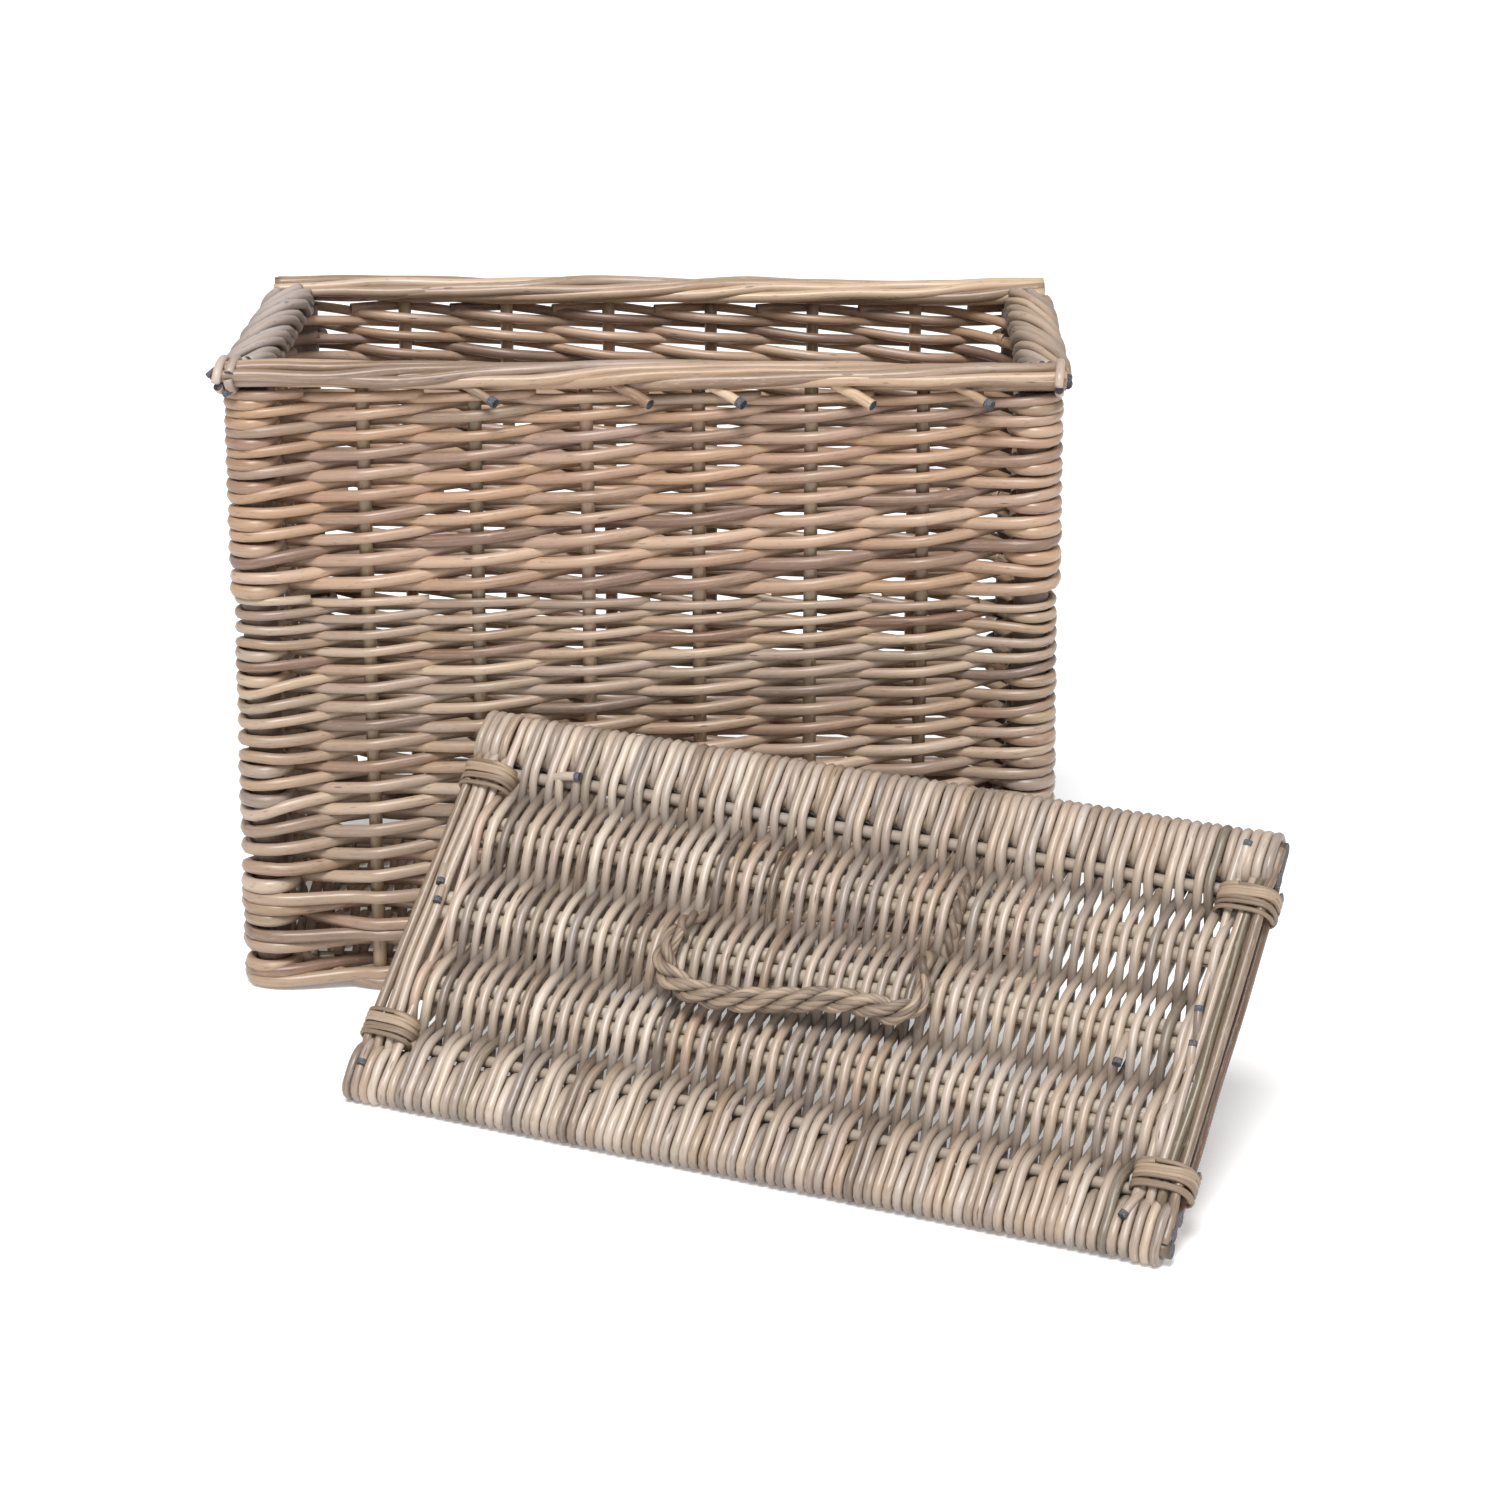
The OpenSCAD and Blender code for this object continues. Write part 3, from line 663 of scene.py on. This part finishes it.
def base():
    low, high = box("base_sticks")
    r = (high[2] - low[2]) / 2
    middle = (low[2] + high[2]) / 2
    rows = np.linspace(low[1] + r, high[1] - r, BASE_STICKS)
    sticks = Rods(10)
    for y in rows:
        x = np.linspace(low[0], high[0], 50)
        sticks.add(np.stack([x, y + wobble(x, 0.4 * MM, 0.3), middle + 0 * x], 1), r)
    sticks.build("base_sticks", "basket", "stick_willow", (STICK, CUT), ["base_sticks"])

    low, high = box("base_weave")
    pitch = (high[0] - low[0]) / BASE_WEAVERS
    rod = min(pitch * 0.47, (high[2] - low[2] - 2 * r) / 4 + 0.6 * MM)
    weave = Rods()
    for k in range(BASE_WEAVERS):
        side = 1 if k % 2 else -1
        lift = r + rod * 0.9
        x = low[0] + (k + 0.5) * pitch + rng.uniform(-0.4, 0.4) * MM
        stops = [(low[1], side * (-1) ** (BASE_STICKS // 2) * lift * 0.6)]
        for i, y in enumerate(rows):
            turn = side * (-1) ** (i - BASE_STICKS // 2)
            stops += [(y - 4 * MM, turn * lift), (y + 4 * MM, turn * lift)]
        stops.append((high[1], stops[0][1]))
        path = through([(x, y, middle + z) for y, z in stops], 6 * MM)
        path[:, 2] = np.maximum(path[:, 2], rod)
        weave.add(path, rod, up=np.array([1.0, 0, 0]), grey=rng.uniform(0, 0.3))
    rim_r = 3.8 * MM                   # radius of the rods that close the base along the walls
    x, y = high[0] + rim_r * 0.9, high[1] + rim_r * 0.9
    for ends in (((-x, -y), (x, -y)), ((-x, y), (x, y)), ((-x, -y), (-x, y)), ((x, -y), (x, y))):
        line = np.linspace(*ends, 40)
        weave.add(np.c_[line, middle + wobble(along(line), 1.0 * MM, 0.1)], rim_r)
    weave.build("base_weave", "basket", "weave_willow", (WEAVE, CUT), ["base_weave"])


# ---- the lid -------------------------------------------------------------------------------

def lid_sticks():
    for edge in ("lower", "upper"):
        low, high = lid.extent("lid_edge_sticks_" + edge)
        sign = -1 if edge == "lower" else 1
        rods = Rods(14)
        for i in range(3):
            x = np.linspace(low[0] + 2 * MM, high[0] + rng.uniform(-1.0, 1.5) * MM, 60)
            y = sign * (EDGE_Y - i * STICK_STEP) + wobble(x, 0.2 * MM, 0.2)
            rods.add(lid.place(np.stack([x, y, 0 * x], 1)), STICK_R, up=lid.z,
                     dirt=0.85 * np.clip((np.abs(x) - x[-1] + 9 * MM) / (5 * MM), 0, 1))
        x = np.linspace(low[0] + 14 * MM, high[0] - 14 * MM, 60)
        rods.add(lid.place(np.stack([x, sign * THIN_Y + wobble(x, 0.8 * MM, 0.2), 0 * x], 1)),
                 THIN_R, up=lid.z, tone=0.8, grey=0.7)
        rods.build("lid_edge_sticks_" + edge, "lid", "stick_willow", (STICK, CUT),
                   ["lid_edge_sticks_" + edge])
    for name in ("lower", "middle", "upper"):
        low, high = lid.extent("lid_pair_" + name)
        middle = (low[1] + high[1]) / 2
        rods = Rods(14)
        for sign in (-1, 1):
            x = np.linspace(low[0], high[0], 60)
            y = middle + sign * STICK_R * 1.02 + wobble(x, 0.25 * MM, 0.2)
            rods.add(lid.place(np.stack([x, y, 0 * x], 1)), STICK_R * rng.uniform(0.94, 1.0), up=lid.z,
                     tone=rng.uniform(0.5, 0.9))
        rods.build("lid_pair_" + name, "lid", "stick_willow", (PEELED, CUT), ["lid_pair_" + name])


def lean_at(y, side):
    """How far a weaver leans to the right at y: not at all where it comes over a pair of sticks,
    and most where it goes under the next, with straight runs between."""
    place = (y / PAIR_GAP + (0 if side > 0 else 1)) % 2
    return 1 - abs(1 - place)


def height_at(y, side, lift):
    """A weaver's height at y: level over and under a pair of sticks, and a straight run between."""
    place = (y / PAIR_GAP + (0 if side > 0 else 1)) % 2
    return lift * float(np.interp(place, [0, 0.1, 0.24, 0.5, 0.76, 0.9, 1.1, 1.24, 1.5, 1.76, 1.9, 2],
                                  [1, 1, 0.74, -0.2, -0.86, -1, -1, -0.7, 0.2, 0.84, 1, 1]))


def edge_turn(side, lift, start, end):
    """The (y, z) stops round the edge bundle, from one face to the other."""
    turn = [(EDGE_Y + lift * math.cos(a), side * lift * math.sin(a))
            for a in np.linspace(math.pi / 2, -math.pi / 2, 7)]
    flat_end = EDGE_Y - STICK_STEP
    return start + [(flat_end, side * lift)] + turn + [(flat_end, -side * lift)] + end


def lid_weave():
    """Weavers go over one pair of sticks and under the next. Those that come over an edge turn
    round it. Every second one that comes under an edge turns back over it, and dives between
    the bundle and the thin stick, so three turns lie where four weavers arrive."""
    low, high = lid.extent("lid_weave")
    pitch = (high[0] - low[0]) / LID_WEAVERS
    gap_y = (EDGE_Y - 2 * STICK_STEP - STICK_R + THIN_Y + THIN_R) / 2
    near_pair = [LEVEL_RUN * d for d in (-2.6, -1, 1, 2.6)]
    inner = [pair + d for pair in (-PAIR_GAP, 0, PAIR_GAP) for d in near_pair]
    inner = sorted(inner + [-PAIR_GAP / 2, PAIR_GAP / 2])
    rods = Rods()
    for k in range(LID_WEAVERS):
        place = k % 4                      # 0 comes under and stops, 2 comes under, 1 and 3 come over
        side = 1 if place % 2 == 1 else -1
        r = rng.uniform(0.86, 1.06) * LID_ROD
        lift, turn_lift = STICK_R + r * 0.92, STICK_R + EDGE_ROD * 0.8
        near = (THIN_Y, side * (THIN_R + r * 0.9))
        if place == 0:
            tail = [near, (EDGE_Y - 1.5 * STICK_STEP, side * lift)]
        elif side > 0:
            tail = edge_turn(side, turn_lift, [near], [(gap_y, -2.5 * MM)])
        else:
            tail = edge_turn(side, turn_lift, [near], [(gap_y + 1 * MM, 1.5 * MM), (gap_y, -1 * MM)])
        x = low[0] + (k + 0.5) * pitch
        edge_x = x + EDGE_SHIFT[place] * pitch
        slant = rng.uniform(0.85, 1.15) * SLANT
        stops = [(edge_x, -y, z) for y, z in tail[::-1]]
        stops += [(x + slant * lean_at(y, side), y, height_at(y, side, lift)) for y in inner]
        stops += [(edge_x, y, z) for y, z in tail]
        path = through(stops, 4.0 * MM)
        path[:, 0] += wobble(path[:, 1], 0.4 * MM, 0.13)
        path[:, 0] = np.clip(path[:, 0], low[0] - 4 * MM, high[0] + 4 * MM)
        near_edge = np.clip((np.abs(path[:, 1]) - THIN_Y + 6 * MM) / (12 * MM), 0, 1)
        # Painted shade: a weaver darkens where it passes between the faces, down among the sticks, and
        # stays light where it lies over them.
        depth = 1 - np.abs(path[:, 2]) / lift
        rods.add(lid.place(path), (r + (EDGE_ROD - r) * near_edge) * (1 + wobble(path[:, 1], 0.05, 0.1)),
                 up=lid.x, flat=0.92, grey=rng.uniform(0, 0.5), dirt=0.62 * np.clip(depth, 0, 1))
    for sign in (-1, 1):
        for end in (-1, 1):
            last = lid.extent("lid_edge_sticks_upper")[1][0] - (4.5 * MM if end > 0 else 0)
            for x in np.arange(abs(low[0]) + 1.5 * MM, last, 2 * EDGE_ROD * 0.96):
                corner_turn(rods, end * x, sign)
    rods.build("lid_weave", "lid", "lid_willow", (LID, CUT), ["lid_weave"])


def corner_turn(rods, x, sign):
    """A closed turn round the edge bundle and the ends of the end rods."""
    lift = STICK_R + EDGE_ROD * 0.9
    inner = EDGE_Y - 2 * STICK_STEP
    stops = [(inner - 4.5 * MM, -2 * MM), (inner - 3.5 * MM, lift * 0.72), (inner, lift), (EDGE_Y, lift)]
    stops += [(EDGE_Y + lift * math.cos(a), lift * math.sin(a)) for a in (1.1, 0.5, 0, -0.5, -1.1)]
    stops += [(EDGE_Y, -lift), (inner, -lift), (inner - 3.5 * MM, -lift * 0.72)]
    stops += [(inner - 4.5 * MM, 2 * MM)]
    lean = rng.uniform(-0.6, 0.6) * MM
    path = through([(x + lean * (i - 6) / 6, sign * y, z) for i, (y, z) in enumerate(stops)], 3 * MM)
    rods.add(lid.place(path), EDGE_ROD * rng.uniform(0.95, 1.04), up=lid.x, grey=rng.uniform(0, 0.4))


# Rods across each end of the lid: mm in from the end at the lower and the upper edge, bow in mm,
# and share of the full thickness
END_LANES = [(2.8, 2.5, 1.2, 1.0), (9.5, 7.8, -0.6, 0.96), (17.0, 12.5, 1.0, 0.9),
             (21.0, 18.5, -1.4, 0.75)]


def lid_ends():
    """Rods that cross each end of the lid at slightly different slants, tucked under the turns."""
    for name, sign in (("left", -1), ("right", 1)):
        low, high = lid.extent("lid_end_rods_" + name)
        outer = max(abs(low[0]), abs(high[0]))
        reach = EDGE_Y - 1 * MM
        rods = Rods(10)
        y = np.linspace(-reach, reach, 60)
        t = y / reach
        rest = STICK_R + END_ROD
        tuck = np.clip((np.abs(y) - THIN_Y + 4 * MM) / (14 * MM), 0, 1) ** 2
        sink = (rest - 3.2 * MM) * tuck
        for at_low, at_high, bow, thick in END_LANES:
            x = outer - (at_low + (at_high - at_low) * (t + 1) / 2) * MM + bow * MM * (1 - t * t)
            x = np.minimum(x + wobble(y, 1.1 * MM, 0.17), outer - 3.2 * MM)
            rods.add(lid.place(np.stack([sign * x, y, rest * thick - sink], 1)),
                     END_ROD * thick * (rng.uniform(0.86, 1.0) + wobble(y, 0.07, 0.2)), up=lid.z,
                     grey=rng.uniform(0, 0.4), tone=rng.uniform(0.1, 0.8))
        for lane in (3.5, 10.5):
            x = sign * (outer - lane * MM + wobble(y, 0.5 * MM, 0.2))
            rods.add(lid.place(np.stack([x, y, sink - rest], 1)), END_ROD, up=lid.z)
        rods.build("lid_end_rods_" + name, "lid", "lid_willow", (LID, CUT), ["lid_end_rods_" + name])


def lid_bindings():
    """Turns of split willow round the end rods, at four places."""
    for node in ("lower_left", "upper_left", "lower_right", "upper_right"):
        low, high = lid.extent("lid_binding_" + node)
        sign = 1 if "right" in node else -1
        outer = max(abs(low[0]), abs(high[0])) + 0.4 * MM
        half_x = BINDING_WIDTH / 2
        centre = outer - half_x
        half_z = (high[2] - low[2]) / 2 - BINDING_ROD - 0.8 * MM
        width = high[1] - low[1] - 2 * BINDING_ROD
        rods = Rods(8)
        for part in range(2):
            t = np.linspace(0, BINDING_TURNS - part * 2.3, (BINDING_TURNS - part * 2) * 28)
            a = 2 * math.pi * t + part * 1.7
            square = 2 / 3.0
            cx = np.sign(np.cos(a)) * np.abs(np.cos(a)) ** square
            cz = np.sign(np.sin(a)) * np.abs(np.sin(a)) ** square
            climb = t / BINDING_TURNS
            spread = width * (0.05 + 0.9 * climb if part == 0 else 0.85 - 0.62 * climb)
            y = low[1] + BINDING_ROD + spread + 1.1 * MM * np.sin(a + 0.6 + part)
            y += wobble(t, 0.8 * MM, 1.7)
            grow = 1 + 0.05 * part
            path = np.stack([sign * (centre + half_x * cx), y, half_z * grow * cz], 1)
            rods.add(lid.place(path), BINDING_ROD, up=lid.y, flat=0.8, tone=0.35 + 0.4 * part)
        rods.build("lid_binding_" + node, "lid", "split_willow", (SPLIT, CUT), ["lid_binding_" + node])


# Cut ends on the lid's face: place from the middle, as a share of half the length and of the way
# to the edge sticks, and direction
STUBS = [(-0.70, 0.76, (1, 0.02)), (-0.95, 0.07, (0.2, -1)), (-0.94, -0.03, (0.1, -1)),
         (-0.97, -0.93, (0.1, -1)), (0.92, 0.98, (0.05, 1)), (0.92, 0.13, (-0.15, 1)),
         (0.93, -0.04, (-0.1, 1)), (0.78, -0.22, (0.05, -1)), (0.89, -0.92, (-0.3, -1))]


def lid_stubs():
    """Ends of joined weavers, cut and dark, on the lid's face."""
    half_x = lid.extent("lid_edge_sticks_upper")[1][0]
    rods, dark = Rods(12), Rods(12)
    for x, y, way in STUBS:
        way = unit(way)
        tip = np.array([x * half_x, y * EDGE_Y])
        line = [tip - way * 20 * MM, tip - way * 9 * MM, tip]
        path = through(np.c_[line, [3.5 * MM, 8.6 * MM, 10.0 * MM]], 1.6 * MM)
        radius = rng.uniform(2.1, 2.5) * MM
        rods.add(lid.place(path), radius, up=lid.z, grey=0.3)
        dark.add(lid.place(path[-3:]), radius * 1.04, up=lid.z)
    rods.build("lid_stubs", "lid", "lid_willow", (LID, CUT), [])
    dark.build("lid_stub_tips", "lid", "cut_ends", (CUT, CUT), [])


# ---- the handle ----------------------------------------------------------------------------

def twist(rods, path, normal, rope_r, strands, lay, fibres=1, **look):
    """Strands laid round a path as a rope, each one rod or several fibres laid the other way.
    rope_r is one radius, or one for each point."""
    s = along(path)
    rope_r = np.broadcast_to(rope_r, s.shape)
    ahead = unit(np.gradient(path, axis=0))
    across = unit(np.cross(ahead, np.broadcast_to(normal, path.shape)))
    above = np.cross(across, ahead)
    strand_r = rope_r / (1 + 1 / math.sin(math.pi / strands))
    for k in range(strands):
        a = 2 * math.pi * (s / lay + k / strands)
        for f in range(fibres):
            b = 2 * math.pi * (f / fibres - s / (0.9 * lay)) + wobble(s, 0.2, 0.04)
            spread = 0 if fibres == 1 else strand_r * 0.6
            thick = 1.1 if fibres == 1 else 0.52
            x = (rope_r - strand_r * 1.02) * np.cos(a) + spread * np.cos(b)
            y = (rope_r - strand_r * 1.02) * np.sin(a) + spread * np.sin(b)
            # Painted shade: fibres nearer the rope's middle are darker, as in the crevices between
            # strands.
            depth = 1 - np.clip(np.hypot(x, y) / (rope_r - strand_r * 0.6), 0, 1)
            rods.add(path + x[:, None] * across + y[:, None] * above, strand_r * thick, up=normal,
                     dirt=np.clip(1.1 * depth, 0, 0.8), **look)


def woven_loop(rods, x, legs_y):
    """The rope's end, split in two and darned over the upper pair of sticks."""
    stops = [(2, legs_y + 12 * MM, -5), (3, legs_y + 19 * MM, 2), (4, PAIR_GAP - 14 * MM, 6.5),
             (4, PAIR_GAP, 8.2), (3.4, PAIR_GAP + 12 * MM, 6), (3, PAIR_GAP + 21 * MM, 0.5),
             (3, PAIR_GAP + 27 * MM, -5)]
    path = through([(x + dx * MM, y, z * MM) for dx, y, z in stops], 1.8 * MM)
    twist(rods, lid.place(path), lid.x, 3.7 * MM, 2, 17 * MM, grey=0.1)


def handle():
    """The rope: two short legs from the hinge line, round bends and a slightly bowed grip."""
    low, high = lid.extent("handle_rope")
    half = (high[0] - low[0]) / 2 - ROPE_R
    legs_y, legs_z = lid.hinge[1], lid.hinge[2]
    run_y, run_z = low[1] + ROPE_R - legs_y, high[2] - ROPE_R - legs_z

    def at(x, reach):
        return (x * half, legs_y + run_y * reach, legs_z + run_z * reach)

    path = through([at(-1.05, -0.03), at(-1.1, 0.3), at(-1.03, 0.7), at(-0.8, 0.95), at(-0.47, 1.0),
                    at(0, 0.86), at(0.4, 0.70), at(0.72, 0.68), at(0.94, 0.72), at(1.08, 0.55),
                    at(1.09, 0.28), at(1.06, 0.04)], 2.2 * MM)
    s = along(path) / along(path)[-1]
    thin = ROPE_R * (1 - 0.3 * np.clip(1 - s / 0.14, 0, 1) - 0.52 * np.clip(1 - (1 - s) / 0.16, 0, 1))
    rods = Rods(6)
    twist(rods, lid.place(path), lid.z, thin, ROPE_STRANDS, STRAND_LAY, fibres=ROPE_FIBRES, grey=0.15)
    rods.build("handle_rope", "handle", "lid_willow", (SPLIT, CUT), ["handle_rope"])

    for name, sign in (("left", -1), ("right", 1)):
        x = sign * half * 1.04
        tail = Rods(10)
        loop = through([(x, legs_y - 4 * MM, legs_z - 5 * MM), (x, legs_y + 2 * MM, legs_z + 1.5 * MM),
                        (x - sign * 1 * MM, legs_y + 8 * MM, legs_z - 1 * MM),
                        (x - sign * 3 * MM, legs_y + 13 * MM, legs_z - 9 * MM),
                        (x - sign * 4 * MM, legs_y + 17 * MM, -2 * MM)], 1.6 * MM)
        twist(tail, lid.place(loop), lid.x, 4.0 * MM, 2, 20 * MM, grey=0.1)
        if name == "right":
            woven_loop(tail, x, legs_y)
        tail.build("handle_tail_" + name, "lid", "split_willow", (SPLIT, CUT), ["handle_anchor_" + name])


# ---- stage ---------------------------------------------------------------------------------

FLOOR_REACH = 14.0                                               # half the floor's side, in m
SUNS = (("key", 2.75, 22, 31, -9), ("fill", 0.45, 60, 58, 50))   # name, strength, then degrees
CAMERA_PLACE, CAMERA_DOWN, CAMERA_LEFT = (0.101, -2.217, 0.856), 18.638, 1.113
LENS = 92.57


def stage():
    """Pale floor, soft lights, and the camera at the photograph's viewing angle."""
    mesh = bpy.data.meshes.new("floor")
    corners = ((-1, -1), (1, -1), (1, 1), (-1, 1))
    mesh.from_pydata([(x * FLOOR_REACH, y * FLOOR_REACH, 0) for x, y in corners],
                     [], [(0, 1, 2, 3)])
    floor = bpy.data.objects.new("floor", mesh)
    bpy.context.scene.collection.objects.link(floor)
    n = Nodes("floor")
    place = n.add("ShaderNodeNewGeometry").outputs["Position"]
    grain = n.add("ShaderNodeTexNoise", {"Vector": place, "Scale": 3.0, "Detail": 2.0}).outputs[0]
    n.link(n.mix(grain, srgb(249, 249, 250), srgb(253, 253, 253)), "Base Color")
    n.shader.inputs["Roughness"].default_value = 0.9
    n.shader.inputs["Specular IOR Level"].default_value = 0.1
    n.shader.inputs["Emission Color"].default_value = (1.0, 1.0, 1.0, 1.0)
    n.shader.inputs["Emission Strength"].default_value = 0.2
    mesh.materials.append(n.material)

    scene = bpy.context.scene
    scene.world = bpy.data.worlds.new("studio")
    scene.world.use_nodes = True
    sky = scene.world.node_tree.nodes["Background"]
    sky.inputs["Color"].default_value = (0.97, 0.985, 1.0, 1.0)
    sky.inputs["Strength"].default_value = 0.4
    scene.view_settings.view_transform = "Standard"

    for name, strength, spread, tilt, turn in SUNS:
        light = bpy.data.lights.new(name, "SUN")
        light.energy = strength
        light.angle = math.radians(spread)
        lamp = bpy.data.objects.new(name, light)
        lamp.rotation_euler = (math.radians(tilt), 0, math.radians(turn))
        scene.collection.objects.link(lamp)

    camera = bpy.data.objects.new("camera", bpy.data.cameras.new("camera"))
    camera.location = CAMERA_PLACE
    camera.rotation_euler = (math.radians(90 - CAMERA_DOWN), 0, math.radians(CAMERA_LEFT))
    camera.data.lens = LENS
    camera.data.sensor_width = 36.0
    scene.collection.objects.link(camera)
    scene.camera = camera


posts_and_stakes()
walls()
border()
border_tails()
base()
lid_sticks()
lid_weave()
lid_ends()
lid_bindings()
lid_stubs()
handle()
stage()
